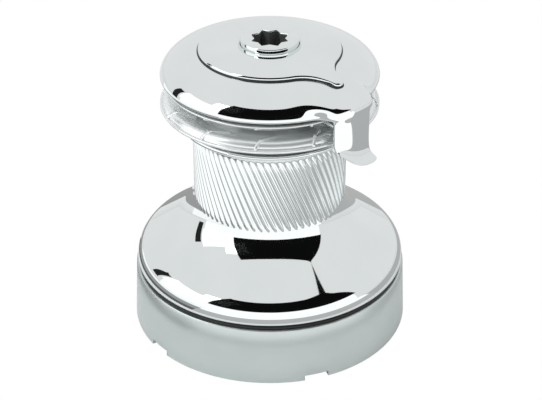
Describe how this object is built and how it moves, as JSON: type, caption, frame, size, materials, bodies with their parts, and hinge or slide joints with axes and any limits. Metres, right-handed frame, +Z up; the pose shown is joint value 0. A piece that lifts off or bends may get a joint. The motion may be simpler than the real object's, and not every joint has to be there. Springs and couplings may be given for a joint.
{
  "type": "self-tailing winch",
  "caption": "Two-speed self-tailing deck winch with a ribbed drum, spring-loaded rope jaws and a star handle socket.",
  "frame": {"origin": "centre of the base's underside", "axes": "+Z up along the drum's axis, -Y towards the user, +X to the user's right"},
  "size_m": [0.1828, 0.183, 0.2003],
  "materials": {
    "chrome": "mirror-polished chrome plate",
    "satin_chrome": "satin chrome on the skirt",
    "jaw_alloy": "satin polished alloy",
    "cast_alloy": "hard anodised casting",
    "stainless": "turned stainless steel",
    "gear_bronze": "machined aluminium bronze",
    "black_polymer": "moulded acetal"
  },
  "bodies": {
    "base": {"base_housing": "cast_alloy", "base_skirt": "satin_chrome", "skirt_screws": "stainless", "labyrinth_seal": "black_polymer", "stem": "cast_alloy", "stem_screws": "stainless", "output_gear_pin": "stainless", "idler_gear_pin": "stainless", "idler_clip": "stainless", "gear_thrust_washers": "black_polymer", "drum_thrust_washer": "black_polymer", "bearing_spacer": "black_polymer", "drum_retaining_ring": "stainless", "shaft_bushes": "black_polymer", "arm_support": "cast_alloy", "stripper_arm": "chrome", "stripper_finger": "chrome", "cover_screws": "stainless", "cover_plate": "chrome"},
    "drum": {"drum": "chrome", "drum_ring_gear": "gear_bronze", "ring_gear_screws": "stainless", "upper_jaw": "jaw_alloy", "jaw_screws": "stainless", "jaw_spring": "stainless"},
    "lower_jaw": {"lower_jaw": "jaw_alloy"},
    "drive_shaft": {"drive_shaft": "stainless", "handle_socket": "chrome", "socket_pin": "stainless"},
    "first_gear": {"first_speed_gear": "gear_bronze"},
    "idler": {"idler_gear": "gear_bronze"},
    "output_pinion": {"output_pinion": "stainless"},
    "second_gear": {"second_speed_gear": "gear_bronze"},
    "shaft_pawl_a": {"shaft_pawl_1": "stainless"},
    "shaft_pawl_b": {"shaft_pawl_2": "stainless"},
    "output_pawl_a": {"output_pawl_1": "stainless"},
    "output_pawl_b": {"output_pawl_2": "stainless"},
    "lower_bearing": {"lower_bearing_cage": "black_polymer", "lower_bearing_rollers": "stainless"},
    "upper_bearing": {"upper_bearing_cage": "black_polymer", "upper_bearing_rollers": "stainless"}
  },
  "joints": [
    {"name": "drum_spin", "type": "hinge", "parent": "base", "child": "drum", "pos_m": [0, 0, 0.09], "axis": [0, 0, 1], "continuous": true},
    {"name": "jaw_slide", "type": "slide", "parent": "drum", "child": "lower_jaw", "axis": [0, 0, 1], "range_m": [-0.003, 0], "deforming": ["jaw_spring"]},
    {"name": "shaft_spin", "type": "hinge", "parent": "base", "child": "drive_shaft", "pos_m": [0, 0, 0.09], "axis": [0, 0, 1], "continuous": true},
    {"name": "first_gear_spin", "type": "hinge", "parent": "base", "child": "first_gear", "pos_m": [0, 0, 0.025], "axis": [0, 0, 1], "continuous": true},
    {"name": "idler_spin", "type": "hinge", "parent": "base", "child": "idler", "pos_m": [-0.03019, 0.027, 0.025], "axis": [0, 0, 1], "continuous": true},
    {"name": "output_pinion_spin", "type": "hinge", "parent": "base", "child": "output_pinion", "pos_m": [0, 0.036, 0.03], "axis": [0, 0, 1], "continuous": true},
    {"name": "second_gear_spin", "type": "hinge", "parent": "base", "child": "second_gear", "pos_m": [0, 0.036, 0.013], "axis": [0, 0, 1], "continuous": true},
    {"name": "lower_bearing_spin", "type": "hinge", "parent": "base", "child": "lower_bearing", "pos_m": [0, 0, 0.073], "axis": [0, 0, 1], "continuous": true},
    {"name": "upper_bearing_spin", "type": "hinge", "parent": "base", "child": "upper_bearing", "pos_m": [0, 0, 0.138], "axis": [0, 0, 1], "continuous": true},
    {"name": "shaft_pawl_a_tilt", "type": "hinge", "parent": "drive_shaft", "child": "shaft_pawl_a", "pos_m": [0.0099, 0, 0.026], "axis": [0, 0, 1], "range_deg": [0, 14]},
    {"name": "shaft_pawl_b_tilt", "type": "hinge", "parent": "drive_shaft", "child": "shaft_pawl_b", "pos_m": [-0.0099, 0, 0.026], "axis": [0, 0, 1], "range_deg": [0, 14]},
    {"name": "output_pawl_a_tilt", "type": "hinge", "parent": "output_pinion", "child": "output_pawl_a", "pos_m": [0.0099, 0.036, 0.014], "axis": [0, 0, 1], "range_deg": [-4, 0]},
    {"name": "output_pawl_b_tilt", "type": "hinge", "parent": "output_pinion", "child": "output_pawl_b", "pos_m": [-0.0099, 0.036, 0.014], "axis": [0, 0, 1], "range_deg": [-4, 0]}
  ],
  "couplings": [
    {"joint": "output_pinion_spin", "follows": "drum_spin", "ratio": 4},
    {"joint": "idler_spin", "follows": "drum_spin", "ratio": -2.2222},
    {"joint": "first_gear_spin", "follows": "drum_spin", "ratio": 2.2222},
    {"joint": "shaft_spin", "follows": "drum_spin", "ratio": 2.2222},
    {"joint": "second_gear_spin", "follows": "drum_spin", "ratio": -1.0101},
    {"joint": "lower_bearing_spin", "follows": "drum_spin", "ratio": 0.58},
    {"joint": "upper_bearing_spin", "follows": "drum_spin", "ratio": 0.58}
  ]
}
